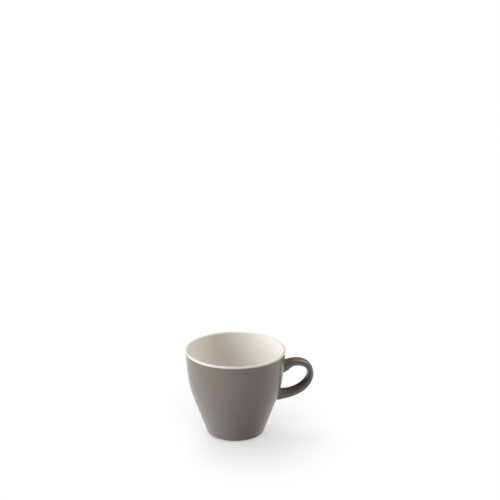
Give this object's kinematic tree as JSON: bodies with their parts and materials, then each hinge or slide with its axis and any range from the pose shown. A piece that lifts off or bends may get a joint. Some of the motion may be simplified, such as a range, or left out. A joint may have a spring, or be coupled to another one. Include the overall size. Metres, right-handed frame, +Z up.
{
  "type": "cappuccino cup",
  "caption": "Round glazed ceramic cup with a bent tapering wall, a rounded cream lip, a loop handle for a finger and a low foot ring.",
  "frame": {"origin": "middle of the foot ring, on the table it stands on", "axes": "+Z up along the cup's axis; +X from the axis to the handle, in the cup's plane of symmetry"},
  "size_m": [0.1098, 0.0848, 0.076],
  "materials": {
    "clay": "fired clay, matte where it is bare",
    "slip": "fired slip, matte",
    "cream_glaze": "smooth satin to gloss",
    "taupe_glaze": "satin"
  },
  "bodies": {
    "root": {"cup_body": "clay", "handle": "clay", "upper_slip_joint": "slip", "lower_slip_joint": "slip", "inner_glaze": "cream_glaze", "outer_glaze": "taupe_glaze", "handle_glaze": "taupe_glaze", "base_glaze": "taupe_glaze"}
  },
  "joints": []
}
